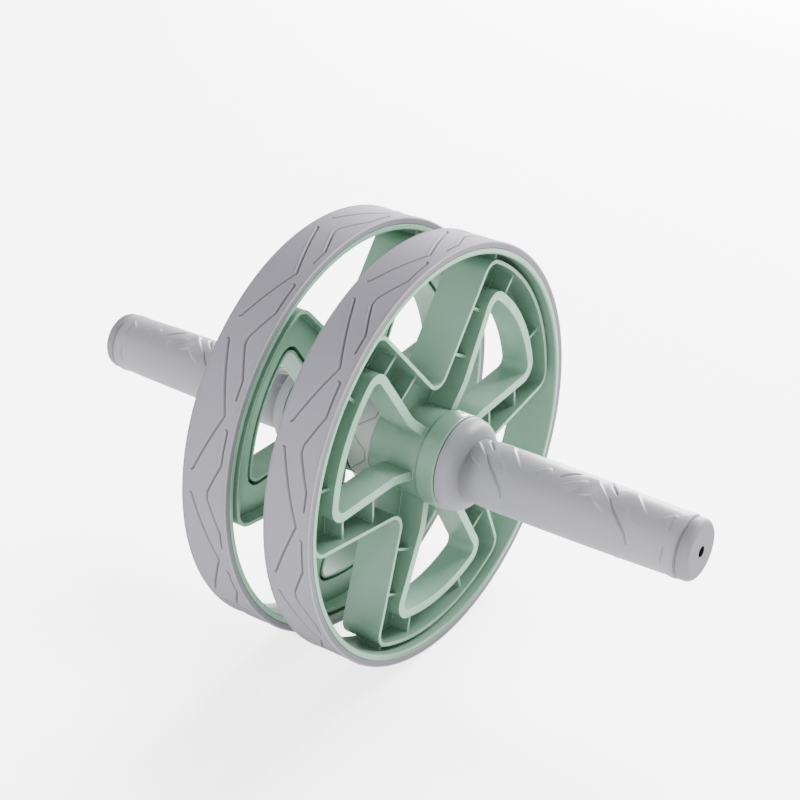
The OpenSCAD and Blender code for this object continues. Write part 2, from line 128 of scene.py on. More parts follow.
# Grip pattern: points of (angle, place along Y on the near handle), repeated along and round the
# handle. It sinks below the sleeve's radius, so that its folds stay inside the CAD's shape.
PATTERN_PITCH = 58.5
PATTERN_TURN = 180.0
PATTERN_REPEATS = 3
FAR_PATTERN_SHIFT = 213.5
PATTERN_SINK = 0.2
PATTERN_FADE = 1.5
GRIP_GROOVES = [
    [(80.0, -97.5), (105.0, -91.5)],
    [(62.0, -110.5), (78.0, -112.0), (100.0, -117.0)],
    [(113.0, -115.5), (125.0, -118.0), (140.0, -122.0), (160.0, -126.5), (177.0, -128.0)],
]
GROOVE_DEPTH = 0.55
GROOVE_HALF_WIDTH = 0.4
GROOVE_SWELL = 0.7
GROOVE_ENDS = (0.05, 0.95)
# Painted shade in the grooves
GROOVE_SHADE = 0.65
GRIP_STEPS = [
    [(80.0, -105.8), (92.0, -108.0), (117.0, -115.4)],
    [(74.0, -122.9), (85.0, -124.5), (118.0, -132.8)],
]
STEP_RISE = 0.75
STEP_REACH = 6.0
STEP_DROP = 0.15
STEP_DROP_SWELL = 1.25
# Painted highlight on the steps' drop faces
STEP_HIGHLIGHT_START = 3.0
GRIP_FOLDS = [
    [(95.0, -103.0), (123.0, -93.5)],
    [(125.0, -102.0), (116.0, -108.0), (128.0, -111.0), (138.0, -115.8)],
    [(96.0, -144.5), (114.0, -139.8)],
]
FOLD_RISE = 1.1
FOLD_REACH = 5.5
FOLD_DROP = 0.9
# Painted highlight along the folds' drops
FOLD_HIGHLIGHT = 0.3
FOLD_HIGHLIGHT_REACH = 1.2
SOFT_START = 0.7
GRIP_CREASES = [
    [(116.0, -123.0), (130.0, -126.0), (142.0, -130.5)],
]
CREASE_RISE = 0.45
CREASE_REACH = 1.4
GRIP_END_CUTS = [
    [(103.0, -143.4), (127.0, -143.7)],
    [(158.0, -143.5), (190.0, -143.5)],
]
END_CUT_DEPTH = 0.7
END_CUT_HALF_WIDTH = 0.6

# Grip's collar at the outer end and neck beside the dome, with the painted shade that darkens them
COLLAR_START = 144.2
COLLAR_RISE = 0.4
COLLAR_RUN = 2.2
COLLAR_FADE = 0.6
END_SHADE = 0.5
END_SHADE_START = 2.2
END_SHADE_RUN = 1.6
NECK_DIP = 0.8
NECK_DIP_LENGTH = 9.0
NECK_SHADE_OFFSET = 1.0
NECK_SHADE_REACH = 5.5
NECK_SHADE_UP = 110.0
NECK_SHADE_EVEN = 0.6

# Spacer: rounded edge, bore, and points of (angle, place along Y) of its engraved line
SPACER_EDGE = 0.4
SPACER_BORE = 8.0
SPACER_TURN_STEPS = 400
SPACER_POINTS = 52
SPACER_PITCH = 60.0
SPACER_LINE = [
    [(0.0, -4.0), (6.0, -4.0), (27.0, 4.0), (33.0, 4.0), (54.0, -4.0), (60.0, -4.0)],
]
SPACER_LINE_DEPTH = 0.4
SPACER_LINE_HALF_WIDTH = 0.5

# Finishes: noise scales are per metre, and a range gives the values at which a mask is 0 and 1
MOTTLE_SCALE = 28.0
MOTTLE_RANGE = (0.35, 0.65)
GRAIN_PITS = 0.25
GRAIN_PIT_SCALE = 0.35
GRAIN_SPREAD = 0.16
GRAIN_STRENGTH = 0.35
ROUGHNESS_SCALE = 60.0
# Paler edges, partly wear and partly painted highlight
EDGE_LEAN_RANGE = (0.95, 0.74)
EDGE_BREAK_SCALE = 220.0
EDGE_BREAK_RANGE = (0.3, 0.6)
EDGE_BREAK_LEAST = 0.55
# Painted shade in pockets from ambient occlusion, and painted light on open faces that look along Y
HOLLOW_SHADE_RANGE = (0.95, 0.35)
HOLLOW_SHADE_ON_WALLS = 0.6
HOLLOW_SHADE_AMOUNT = 0.92
LIT_TOP_LEAN_RANGE = (0.8, 0.98)
LIT_TOP_OPEN_RANGE = (0.75, 0.95)
ALONG_AXIS = (0.0, 1.0, 0.0)
ACROSS_AXIS = (1.0, 0.0, 1.0)
# Black painted as shade on the wall of the end cap's hole
CAP_HOLE_RADIUS = 2.4
HOLE_SHADE_BLACK = (0.01, 0.01, 0.01)
SUBSURFACE_RADIUS = (0.7, 1.0, 0.8)
SUBSURFACE_SCALE = 0.002

# Floor: half its side and its gap under the tyres, in metres, its finish, and the sun that lights
# it alone. The camera sees more glow and a purer white than the object does.
FLOOR_HALF = 6.0
FLOOR_GAP = 0.0002
FLOOR_GLOW = 0.3
FLOOR_SEEN_GLOW = 3.3
FLOOR_WHITE = 0.38
FLOOR_SEEN_WHITE = 0.9
FLOOR_ROUGHNESS = 0.9
FLOOR_SPECULAR = 0.1
FLOOR_SUN_FROM = (1.0, 0.12, 1.4)
FLOOR_SUN_ANGLE = 32.0
FLOOR_SUN_STRENGTH = 8.4

# Softboxes: name, place in metres, side in metres and power in watts
SOFTBOXES = [
    ("key_softbox", (1.25, -0.45, 0.8), 0.6, 36.0),
    ("rim_softbox", (1.4, 0.3, 0.12), 0.8, 70.0),
    ("fill_softbox", (-1.1, -0.9, 0.25), 0.9, 5.0),
]

# Sky: brightest towards one side, from the lean at which it is dim to that at which it is bright
SKY_BRIGHT_SIDE = (-0.85, 0.1, -0.85)
SKY_LEAN_RANGE = (-0.8, 0.6)
SKY_DIM = 0.22
SKY_BRIGHT = 1.6

# Camera: direction, distance and shifts in metres, and focal length in pixels of its frame
CAMERA_AZIMUTH = -54.2463
CAMERA_ELEVATION = 29.5044
CAMERA_DISTANCE = 0.795502
CAMERA_RIGHT = 0.006954
CAMERA_UP = 0.015191
CAMERA_FOCUS = 1824.695
FRAME_PIXELS = 800
SENSOR_WIDTH = 36.0


# ---------------------------------------------------------------- shapes

def line_distance(angle, place, lines, radius, turn_pitch, place_pitch=None):
    """Distance on the unrolled surface from each point to the nearest line, with where on its line
    (0 at the start, 1 at the end) and on which side. A point's flat coordinates are its angle times
    the radius and its place; lines repeat every turn_pitch degrees and, where it is given, every
    place_pitch millimetres."""
    per_degree = radius * math.pi / 180
    best = np.full(angle.shape, np.inf)
    along = np.zeros(angle.shape)
    side = np.zeros(angle.shape)
    place_steps = [0.0]
    if place_pitch is not None:
        place_steps = [k * place_pitch for k in range(-PATTERN_REPEATS, PATTERN_REPEATS + 1)]
    for line in lines:
        pts = np.array(line)
        lengths = np.hypot(np.diff(pts[:, 0]) * per_degree, np.diff(pts[:, 1]))
        starts = np.concatenate([[0.0], np.cumsum(lengths)])
        middle = pts[:, 0].mean()
        da = (angle - middle + turn_pitch / 2) % turn_pitch - turn_pitch / 2
        for wrap in (-turn_pitch, 0.0, turn_pitch):
            px = (da + wrap + middle) * per_degree
            for step in place_steps:
                py = place - step
                for i in range(len(pts) - 1):
                    ax, ay = pts[i, 0] * per_degree, pts[i, 1]
                    dx, dy = pts[i + 1, 0] * per_degree - ax, pts[i + 1, 1] - ay
                    t = np.clip(((px - ax) * dx + (py - ay) * dy) / (lengths[i] ** 2), 0, 1)
                    ex, ey = px - ax - t * dx, py - ay - t * dy
                    d = np.hypot(ex, ey)
                    near = d < best
                    best[near] = d[near]
                    along[near] = ((starts[i] + t * lengths[i]) / starts[-1])[near]
                    side[near] = np.sign(dx * ey - dy * ex)[near]
    return best, along, side


def ring_mesh(name, points, **attributes):
    """A closed ring from an array [angle, profile, xyz]: both directions wrap, so each point joins
    its neighbours with one four-sided face. Attributes are arrays [angle, profile]."""
    n, m, _ = points.shape
    i, j = np.meshgrid(np.arange(n), np.arange(m), indexing="ij")
    i2, j2 = (i + 1) % n, (j + 1) % m
    quads = np.stack([i * m + j, i * m + j2, i2 * m + j2, i2 * m + j], -1).reshape(-1, 4)
    mesh = bpy.data.meshes.new(name)
    mesh.vertices.add(n * m)
    mesh.vertices.foreach_set("co", points.reshape(-1).astype(np.float32))
    mesh.loops.add(quads.size)
    mesh.loops.foreach_set("vertex_index", quads.reshape(-1).astype(np.int32))
    mesh.polygons.add(len(quads))
    mesh.polygons.foreach_set("loop_start", np.arange(0, quads.size, 4, dtype=np.int32))
    for key, values in attributes.items():
        layer = mesh.attributes.new(key, "FLOAT", "POINT")
        layer.data.foreach_set("value", values.reshape(-1).astype(np.float32))
    mesh.update(calc_edges=True)
    mesh.validate()
    mesh.shade_smooth()
    mesh.set_sharp_from_angle(angle=math.radians(SHARP_ANGLE))
    obj = bpy.data.objects.new(name, mesh)
    bpy.context.scene.collection.objects.link(obj)
    return obj


def turned_grid(profile, steps):
    """Angle, place and radius arrays [angle, profile] of a profile turned about Y in that many
    equal steps."""
    angle, k = np.meshgrid(np.linspace(0, 360, steps, endpoint=False), np.arange(len(profile)),
                           indexing="ij")
    return angle, profile[k, 0], profile[k, 1]


def turned_points(angle, place, radius):
    """Points at an angle round the Y axis, a place along it and a radius, all arrays in mm and
    degrees: x is radius times the angle's cosine, z is radius times its sine."""
    a = np.radians(angle)
    return np.stack([radius * np.cos(a), place, radius * np.sin(a)], -1) * MM


def outward(profile):
    """The closed profile of (place along Y, radius) points, in the order that makes ring_mesh's
    faces point outwards: its signed area, by the shoelace sum, is made positive."""
    p, r = profile[:, 0], profile[:, 1]
    area = np.sum(p * np.roll(r, -1) - np.roll(p, -1) * r)
    return profile if area > 0 else profile[::-1]


def arc_points(place, radius, r, start, stop, count):
    """Points of a profile's arc of radius r about (place, radius), with angles from +Y towards
    the outside."""
    a = np.radians(np.linspace(start, stop, count))
    return np.stack([place + r * np.cos(a), radius + r * np.sin(a)], -1)


def engraved(distance, depth, half_width):
    """A groove's depth: depth times (1 - (distance / half_width) squared) squared, and nothing
    outside."""
    return depth * np.clip(1 - (distance / half_width) ** 2, 0, None) ** 2


def ramp(distance, run):
    """0 up to the start, then evenly up to 1 at the run's end, and 1 from there."""
    return np.clip(distance / run, 0, 1)


def fall_off(distance, reach):
    """1 at no distance, evenly down to 0 at the reach."""
    return np.clip(1 - distance / reach, 0, 1)


def make_tyre(name, node, turn):
    """The tyre: a flat tread with quarter-round edges, sides and a bore with small chamfers, turned
    about Y. The tread's radius is lowered along the tread lines, and raised by a low lip on both
    sides of them and by a ridge on one side of the ridge lines. Painted shade darkens the lines by
    their depth and the sides, and a painted highlight lightens the lips and the rounded edges."""
    lo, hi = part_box(node)
    edge_lo, edge_hi, outer = lo[1] / MM, hi[1] / MM, hi[2] / MM
    width = edge_hi - edge_lo
    bore = outer - TYRE_WALL
    flat = np.linspace(edge_lo + TYRE_EDGE, edge_hi - TYRE_EDGE, TYRE_TREAD_POINTS)
    tread = np.stack([flat, np.full(flat.shape, outer)], -1)
    round_lo = arc_points(edge_lo + TYRE_EDGE, outer - TYRE_EDGE, TYRE_EDGE, 180, 90,
                          TYRE_EDGE_POINTS)[:-1]
    round_hi = arc_points(edge_hi - TYRE_EDGE, outer - TYRE_EDGE, TYRE_EDGE, 90, 0,
                          TYRE_EDGE_POINTS)[1:]
    side_out = outer - TYRE_EDGE - TYRE_SIDE_INSET
    side_in = bore + TYRE_SEAM + TYRE_SIDE_INSET
    sides_and_bore = np.array([
        [edge_hi, side_out], [edge_hi, side_in], [edge_hi, bore + TYRE_SEAM],
        [edge_hi - TYRE_SEAM, bore], [edge_hi - width / 2, bore], [edge_lo + TYRE_SEAM, bore],
        [edge_lo, bore + TYRE_SEAM], [edge_lo, side_in], [edge_lo, side_out],
    ])
    profile = outward(np.concatenate([round_lo, tread, round_hi, sides_and_bore]))
    angle, place, radius = turned_grid(profile, TYRE_TURN_STEPS)
    on_tread = radius > outer - NEAR
    on_edge = (radius < outer - CLEAR) * (radius > side_out + CLEAR)
    on_side = radius < side_out + NEAR
    unrolled = (angle - turn, place - edge_lo)
    d, _, _ = line_distance(*unrolled, TREAD_LINES, outer, TREAD_PITCH)
    cut = engraved(d, TREAD_DEPTH, TREAD_HALF_WIDTH) * on_tread
    lip = engraved(d - TREAD_HALF_WIDTH - LIP_OFFSET, LIP_HEIGHT, LIP_HALF_WIDTH)
    d, _, side = line_distance(*unrolled, RIDGE_LINES, outer, TREAD_PITCH)
    ridge = engraved(d - TREAD_HALF_WIDTH - RIDGE_OFFSET, RIDGE_HEIGHT, RIDGE_HALF_WIDTH)
    raised = np.maximum(lip, ridge * (side > 0)) * on_tread
    return ring_mesh(
        name, turned_points(angle, place, radius - cut + raised - RIDGE_HEIGHT * on_tread),
        # Painted shade on the lines and sides, painted highlight on the lips and rounded edges
        groove=np.maximum(cut / TREAD_DEPTH, on_side * TYRE_SIDE_SHADE),
        pale=np.maximum(LIP_HIGHLIGHT * lip / LIP_HEIGHT * on_tread, TYRE_EDGE_HIGHLIGHT * on_edge))


def sleeve_radius(place):
    """The sleeve's radius: the largest one, less a parabola from the belly to the outer end."""
    fall = (GRIP_END - GRIP_BELLY) ** 2 / (GRIP_RADIUS - GRIP_END_RADIUS)
    return GRIP_RADIUS - (place - GRIP_BELLY) ** 2 / fall


def grip_profile(neck_at):
    """The grip's closed section as points of (distance from the middle, radius). The dome is a
    quarter ellipse: its radius is the neck's plus the fall times cos t, and its place the lip's
    end plus the run times sin t. The sleeve, the rounded end, the seam with the cap and the inner
    faces on the core and its flange follow."""
    neck = sleeve_radius(neck_at) - NECK_DIP
    t = np.radians(np.linspace(0, 90, DOME_POINTS))
    dome = np.stack([DOME_START + DOME_LIP + (DOME_LENGTH - DOME_LIP) * np.sin(t),
                     neck + (DOME_RADIUS - neck) * np.cos(t)], -1)
    edge = arc_points(DOME_START + DOME_EDGE, DOME_RADIUS - DOME_EDGE, DOME_EDGE, 180, 90,
                      DOME_EDGE_POINTS)
    sleeve_at = np.linspace(neck_at, GRIP_END - GRIP_END_ROUND, GRIP_SLEEVE_POINTS)[1:]
    sleeve = np.stack([sleeve_at, sleeve_radius(sleeve_at)], -1)
    end_edge = arc_points(GRIP_END - GRIP_END_ROUND, sleeve_radius(GRIP_END) - GRIP_END_ROUND,
                          GRIP_END_ROUND, GRIP_END_ANGLE, 0, GRIP_END_POINTS)
    end_at = GRIP_END + GRIP_SEAM
    seam = np.array([[end_at, end_edge[-1, 1]], [end_at, CORE_RADIUS]])
    inner = np.array([[FLANGE_END, CORE_RADIUS], [FLANGE_END, FLANGE_RADIUS],
                      [DOME_START, FLANGE_RADIUS]])
    return np.concatenate([edge, dome, sleeve, end_edge, seam, inner])


def grip_pattern(angle, place, out):
    """The sleeve's pattern at each point: how deep its grooves are from 0 to 1, how high it stands
    in mm, and how strong its painted highlight is from 0 to 1, on the steps' drop faces and along
    the folds' drops. Grooves are widest in the middle. Folds swell from nothing to their middle,
    with a long slope on one side and a short drop on the other. Creases are low ridges. Steps rise
    slowly and drop at a face that narrows to nothing."""
    repeat = (GRIP_RADIUS, PATTERN_TURN, PATTERN_PITCH)
    d, along, _ = line_distance(angle, place, GRIP_GROOVES, *repeat)
    swell = GROOVE_HALF_WIDTH + GROOVE_SWELL * np.sin(math.pi * np.clip(along, *GROOVE_ENDS))
    grooves = engraved(d, 1.0, swell)
    d, _, _ = line_distance(angle, -out, GRIP_END_CUTS, GRIP_RADIUS, PATTERN_TURN)
    grooves = np.maximum(grooves, engraved(d, END_CUT_DEPTH, END_CUT_HALF_WIDTH))

    d, along, side = line_distance(angle, place, GRIP_FOLDS, *repeat)
    strength = np.sin(math.pi * np.clip(along, 0, 1)) ** SOFT_START
    slopes = fall_off(d, FOLD_REACH) ** 2 * (side <= 0) + fall_off(d, FOLD_DROP) * (side > 0)
    height = FOLD_RISE * slopes * strength
    fold_highlight = fall_off(d, FOLD_HIGHLIGHT_REACH) * (side > 0) * strength

    d, along, _ = line_distance(angle, place, GRIP_CREASES, *repeat)
    height += CREASE_RISE * fall_off(d, CREASE_REACH) * np.sin(math.pi * np.clip(along, 0, 1))

    d, along, side = line_distance(angle, place, GRIP_STEPS, *repeat)
    left = 1 - along
    width = STEP_DROP + STEP_DROP_SWELL * left
    drop = fall_off(d, width) * (side <= 0)
    height += STEP_RISE * left ** SOFT_START * (fall_off(d, STEP_REACH) * (side > 0) + drop)
    # Painted highlight on the steps' drop faces and along the folds' drops
    step_highlight = (drop > 0) * (d < width) * np.clip(STEP_HIGHLIGHT_START * left, 0, 1)
    return grooves, height, np.maximum(step_highlight, FOLD_HIGHLIGHT * fold_highlight)


def make_grip(name, mirror, shift):
    """The grip: a domed flange cover and a bellied, tapered sleeve, turned about Y. The sleeve's
    radius is its profile's plus the pattern's height and a collar's at the end, less the grooves
    and a dip at the neck. Painted shade darkens the grooves and the seam band at the end, and the
    neck's painted shade is a bell curve along Y, strongest at the top."""
    neck_at = DOME_START + DOME_LENGTH
    profile = grip_profile(neck_at)
    profile[:, 0] *= mirror
    angle, place, radius = turned_grid(outward(profile), GRIP_TURN_STEPS)
    out = np.abs(place)
    outside = radius > CORE_RADIUS + 1.0
    on_sleeve = (out > neck_at) * outside
    fade_in = ramp(out - neck_at, PATTERN_FADE)
    zone = fade_in * ramp(COLLAR_START - out, COLLAR_FADE) * on_sleeve
    grooves, height, pale = grip_pattern(angle, place - shift, out)
    collar = COLLAR_RISE * ramp(out - COLLAR_START, COLLAR_RUN) * on_sleeve
    raised = (height - GROOVE_DEPTH * grooves) * zone + collar
    dip = NECK_DIP * fall_off(out - neck_at, NECK_DIP_LENGTH) ** 2
    sunk = (PATTERN_SINK * fade_in + dip) * on_sleeve
    # Painted shade at the neck, strongest at the top
    upper = NECK_SHADE_EVEN + (1 - NECK_SHADE_EVEN) * np.cos(np.radians(angle - NECK_SHADE_UP))
    bell = np.exp(-((out - neck_at - NECK_SHADE_OFFSET) / NECK_SHADE_REACH) ** 2)
    # Painted shade on the seam band at the end
    end_shade = END_SHADE * ramp(out - GRIP_END + END_SHADE_START, END_SHADE_RUN)
    end_shade = end_shade * (radius > CORE_RADIUS + CLEAR)
    lines = GROOVE_SHADE * np.maximum(grooves * zone, end_shade)
    return ring_mesh(name, turned_points(angle, place, radius + raised - sunk),
                     groove=np.maximum(lines, upper * bell * outside), pale=pale * zone)


def make_spacer(name, node):
    """The spacer between the wheels: an outer wall and end faces down to the sleeve, turned about
    Y, with one engraved zigzag line round its middle, darkened by painted shade along its depth."""
    lo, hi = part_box(node)
    half, outer = hi[1] / MM, hi[2] / MM
    flat = np.linspace(-half + SPACER_EDGE, half - SPACER_EDGE, SPACER_POINTS)
    wall = np.stack([flat, np.full(flat.shape, outer)], -1)
    rest = np.array([[half, outer - SPACER_EDGE], [half, SPACER_BORE], [-half, SPACER_BORE],
                     [-half, outer - SPACER_EDGE]])
    angle, place, radius = turned_grid(outward(np.concatenate([wall, rest])), SPACER_TURN_STEPS)
    d, _, _ = line_distance(angle, place, SPACER_LINE, outer, SPACER_PITCH)
    cut = engraved(d, SPACER_LINE_DEPTH, SPACER_LINE_HALF_WIDTH) * (radius > outer - NEAR)
    # Painted shade along the engraved line
    return ring_mesh(name, turned_points(angle, place, radius - cut),
                     groove=cut / SPACER_LINE_DEPTH)


# ---------------------------------------------------------------- materials

def new_group(name, inputs, outputs):
    """An empty shader node group with named inputs (name, socket type, default) and outputs."""
    tree = bpy.data.node_groups.new(name, "ShaderNodeTree")
    for key, kind, value in inputs:
        socket = tree.interface.new_socket(key, in_out="INPUT", socket_type=kind)
        socket.default_value = value
    for key, kind in outputs:
        tree.interface.new_socket(key, in_out="OUTPUT", socket_type=kind)
    return tree, tree.nodes.new("NodeGroupInput"), tree.nodes.new("NodeGroupOutput")


def add_node(tree, kind, inputs=None, **settings):
    """A node of that kind with its settings, and its input sockets set to values or linked to
    outputs."""
    n = tree.nodes.new(kind)
    for key, value in settings.items():
        setattr(n, key, value)
    for key, value in (inputs or {}).items():
        if isinstance(value, bpy.types.NodeSocket):
            tree.links.new(value, n.inputs[key])
        else:
            n.inputs[key].default_value = value
    return n


def add_math(tree, operation, *values):
    """A Math node's result, from values or outputs."""
    return add_node(tree, "ShaderNodeMath", dict(enumerate(values)), operation=operation).outputs[0]


def add_mix(tree, factor, first, second):
    """The colour that a factor mixes from a first and a second one, each an output or a colour."""
    a, b = (c if isinstance(c, bpy.types.NodeSocket) else (*c, 1) for c in (first, second))
    return add_node(tree, "ShaderNodeMix", {"Factor": factor, "A": a, "B": b},
                    data_type="RGBA").outputs["Result"]


def add_range(tree, value, start, stop, to_start=0.0, to_stop=1.0):
    """A value mapped, within limits, from one range to another."""
    return add_node(tree, "ShaderNodeMapRange", {
        "Value": value, "From Min": start, "From Max": stop, "To Min": to_start,
        "To Max": to_stop}).outputs["Result"]


def add_noise(tree, scale, **inputs):
    """Noise on the object's own coordinates."""
    coords = add_node(tree, "ShaderNodeTexCoord")
    return add_node(tree, "ShaderNodeTexNoise", {
        "Vector": coords.outputs["Object"], "Scale": scale, **inputs}).outputs["Fac"]


def build_mottle():
    """Soft noise mixes a colour with a second one, for slow changes of tone over a moulding."""
    tree, gin, gout = new_group(
        "Mottle",
        [("Colour", "NodeSocketColor", (0.5, 0.5, 0.5, 1)),
         ("Second", "NodeSocketColor", (0.4, 0.4, 0.4, 1)),
         ("Scale", "NodeSocketFloat", 20.0), ("Amount", "NodeSocketFloat", 0.3)],
        [("Colour", "NodeSocketColor")],
    )
    noise = add_noise(tree, gin.outputs["Scale"], Detail=4.0, Roughness=0.55)
    spread = add_range(tree, noise, *MOTTLE_RANGE)
    share = add_math(tree, "MULTIPLY", spread, gin.outputs["Amount"])
    mixed = add_mix(tree, share, gin.outputs["Colour"], gin.outputs["Second"])
    tree.links.new(mixed, gout.inputs["Colour"])
    return tree


def build_grain():
    """Fine moulded grain: a small-scale noise with a few larger pits as a height, and a roughness
    that changes slowly."""
    tree, gin, gout = new_group(
        "FineGrain",
        [("Scale", "NodeSocketFloat", 2500.0), ("Pits", "NodeSocketFloat", 0.2),
         ("Roughness", "NodeSocketFloat", 0.5), ("Spread", "NodeSocketFloat", 0.1)],
        [("Height", "NodeSocketFloat"), ("Roughness", "NodeSocketFloat")],
    )
    fine = add_noise(tree, gin.outputs["Scale"], Detail=2.0)
    coords = add_node(tree, "ShaderNodeTexCoord")
    pit_scale = add_math(tree, "MULTIPLY", gin.outputs["Scale"], GRAIN_PIT_SCALE)
    cells = add_node(tree, "ShaderNodeTexVoronoi", {"Vector": coords.outputs["Object"],
                                                    "Scale": pit_scale})
    pits = add_math(tree, "MULTIPLY", cells.outputs["Distance"], gin.outputs["Pits"])
    tree.links.new(add_math(tree, "ADD", fine, pits), gout.inputs["Height"])
    slow = add_noise(tree, ROUGHNESS_SCALE, Detail=3.0)
    centred = add_math(tree, "SUBTRACT", slow, 0.5)
    rough = add_math(tree, "MULTIPLY_ADD", centred, gin.outputs["Spread"], gin.outputs["Roughness"])
    tree.links.new(rough, gout.inputs["Roughness"])
    return tree


def build_edge():
    """Edge mask for paler edges, partly wear and partly painted highlight: how far a rounded normal
    leans from the flat one, broken up by noise. Normal is the rounded one."""
    tree, gin, gout = new_group(
        "EdgeWearAndHighlight",
        [("Radius", "NodeSocketFloat", 0.0006), ("Amount", "NodeSocketFloat", 1.0)],
        [("Mask", "NodeSocketFloat"), ("Normal", "NodeSocketVector")],
    )
    bevel = add_node(tree, "ShaderNodeBevel", {"Radius": gin.outputs["Radius"]}, samples=4)
    geometry = add_node(tree, "ShaderNodeNewGeometry")
    dot = add_node(tree, "ShaderNodeVectorMath",
                   {0: bevel.outputs["Normal"], 1: geometry.outputs["Normal"]},
                   operation="DOT_PRODUCT")
    lean = add_range(tree, dot.outputs["Value"], *EDGE_LEAN_RANGE)
    noise = add_noise(tree, EDGE_BREAK_SCALE, Detail=3.0)
    broken = add_range(tree, noise, *EDGE_BREAK_RANGE, EDGE_BREAK_LEAST)
    mask = add_math(tree, "MULTIPLY", lean, broken)
    tree.links.new(add_math(tree, "MULTIPLY", mask, gin.outputs["Amount"]), gout.inputs["Mask"])
    tree.links.new(bevel.outputs["Normal"], gout.inputs["Normal"])
    return tree


def build_hollow_shade():
    """Painted shade mask: how closed in a point is by walls nearer than the reach, and less so on
    faces that stand along the Y axis. The second output is a painted light mask, 1 on open faces
    that look along the Y axis."""
    tree, gin, gout = new_group(
        "PaintedHollowShade",
        [("Reach", "NodeSocketFloat", 0.02), ("Amount", "NodeSocketFloat", 0.5)],
        [("Mask", "NodeSocketFloat"), ("Top", "NodeSocketFloat")],
    )
    open_share = add_node(tree, "ShaderNodeAmbientOcclusion", {"Distance": gin.outputs["Reach"]},
                          samples=6).outputs["AO"]
    geometry = add_node(tree, "ShaderNodeNewGeometry")
    lean = add_node(tree, "ShaderNodeVectorMath",
                    {0: geometry.outputs["Normal"], 1: ALONG_AXIS}, operation="DOT_PRODUCT")
    flat = add_math(tree, "ABSOLUTE", lean.outputs["Value"])
    closed = add_range(tree, open_share, *HOLLOW_SHADE_RANGE)
    shown = add_math(tree, "MULTIPLY", closed, add_range(tree, flat, 0.0, 1.0, HOLLOW_SHADE_ON_WALLS))
    tree.links.new(add_math(tree, "MULTIPLY", shown, gin.outputs["Amount"]), gout.inputs["Mask"])
    level = add_range(tree, flat, *LIT_TOP_LEAN_RANGE)
    free = add_range(tree, open_share, *LIT_TOP_OPEN_RANGE)
    tree.links.new(add_math(tree, "MULTIPLY", level, free), gout.inputs["Top"])
    return tree


MOTTLE, GRAIN, EDGE, HOLLOW_SHADE = build_mottle(), build_grain(), build_edge(), build_hollow_shade()


def place_group(tree, group, **inputs):
    """A copy of a node group in a material, with its inputs set by name."""
    n = tree.nodes.new("ShaderNodeGroup")
    n.node_tree = group
    for key, value in inputs.items():
        n.inputs[key].default_value = value
    return n


def moulded(name, colour, second, edge_colour, roughness, grain_scale, grain_depth, edge_radius,
            groove_colour=None, pale_colour=None, coat=0.0, subsurface=0.0, metallic=0.0,
            specular=0.5, mottle=0.35, edge=0.6, hole=0.0, hollow_shade_colour=None, hollow_shade_reach=0.03,
            lit_top_colour=None, sheen=0.0):
    """A moulded or machined finish: mottled colour, paler edges that are partly wear and partly
    painted highlight, fine grain and rounded corners, painted shade and a painted highlight where a
    piece's attributes mark them, painted shade in pockets and painted light on open faces along Y,
    and a black wall painted as shade in a hole of that radius round the Y axis. The reach of the
    painted pocket shade is in metres."""
    material = bpy.data.materials.new(name)
    material.use_nodes = True
    tree = material.node_tree
    shader = tree.nodes["Principled BSDF"]
    tone = place_group(tree, MOTTLE, Colour=(*colour, 1), Second=(*second, 1), Scale=MOTTLE_SCALE,
                       Amount=mottle)
    edge_wear_and_highlight = place_group(tree, EDGE, Radius=edge_radius * MM, Amount=edge)
    grain = place_group(tree, GRAIN, Scale=grain_scale, Pits=GRAIN_PITS, Roughness=roughness,
                        Spread=GRAIN_SPREAD)
    shown = tone.outputs["Colour"]
    if hollow_shade_colour is not None:
        # Painted shade in pockets, then painted light on open faces along Y
        depth = place_group(tree, HOLLOW_SHADE, Reach=hollow_shade_reach, Amount=HOLLOW_SHADE_AMOUNT)
        shown = add_mix(tree, depth.outputs["Mask"], shown, hollow_shade_colour)
        if lit_top_colour is not None:
            shown = add_mix(tree, depth.outputs["Top"], shown, lit_top_colour)
    shown = add_mix(tree, edge_wear_and_highlight.outputs["Mask"], shown, edge_colour)
    # Painted shade and painted highlight where the pieces' attributes mark them
    for key, tint in (("groove", groove_colour), ("pale", pale_colour)):
        if tint is not None:
            mark = add_node(tree, "ShaderNodeAttribute", attribute_name=key)
            shown = add_mix(tree, mark.outputs["Fac"], shown, tint)
    # Painted shade: the hole's wall is black
    if hole:
        coords = add_node(tree, "ShaderNodeTexCoord")
        across = add_node(tree, "ShaderNodeVectorMath",
                          {0: coords.outputs["Object"], 1: ACROSS_AXIS}, operation="MULTIPLY")
        reach = add_node(tree, "ShaderNodeVectorMath", {0: across.outputs["Vector"]},
                         operation="LENGTH")
        inside = add_math(tree, "LESS_THAN", reach.outputs["Value"], hole * MM)
        shown = add_mix(tree, inside, shown, HOLE_SHADE_BLACK)
    tree.links.new(shown, shader.inputs["Base Color"])
    tree.links.new(grain.outputs["Roughness"], shader.inputs["Roughness"])
    bump = add_node(tree, "ShaderNodeBump", {
        "Height": grain.outputs["Height"], "Normal": edge_wear_and_highlight.outputs["Normal"],
        "Strength": GRAIN_STRENGTH, "Distance": grain_depth * MM})
    tree.links.new(bump.outputs["Normal"], shader.inputs["Normal"])
    shader.inputs["Metallic"].default_value = metallic
    shader.inputs["Specular IOR Level"].default_value = specular
    shader.inputs["Coat Weight"].default_value = coat
    shader.inputs["Sheen Weight"].default_value = sheen
    shader.inputs["Subsurface Weight"].default_value = subsurface
    shader.inputs["Subsurface Radius"].default_value = SUBSURFACE_RADIUS
    shader.inputs["Subsurface Scale"].default_value = SUBSURFACE_SCALE
    return material


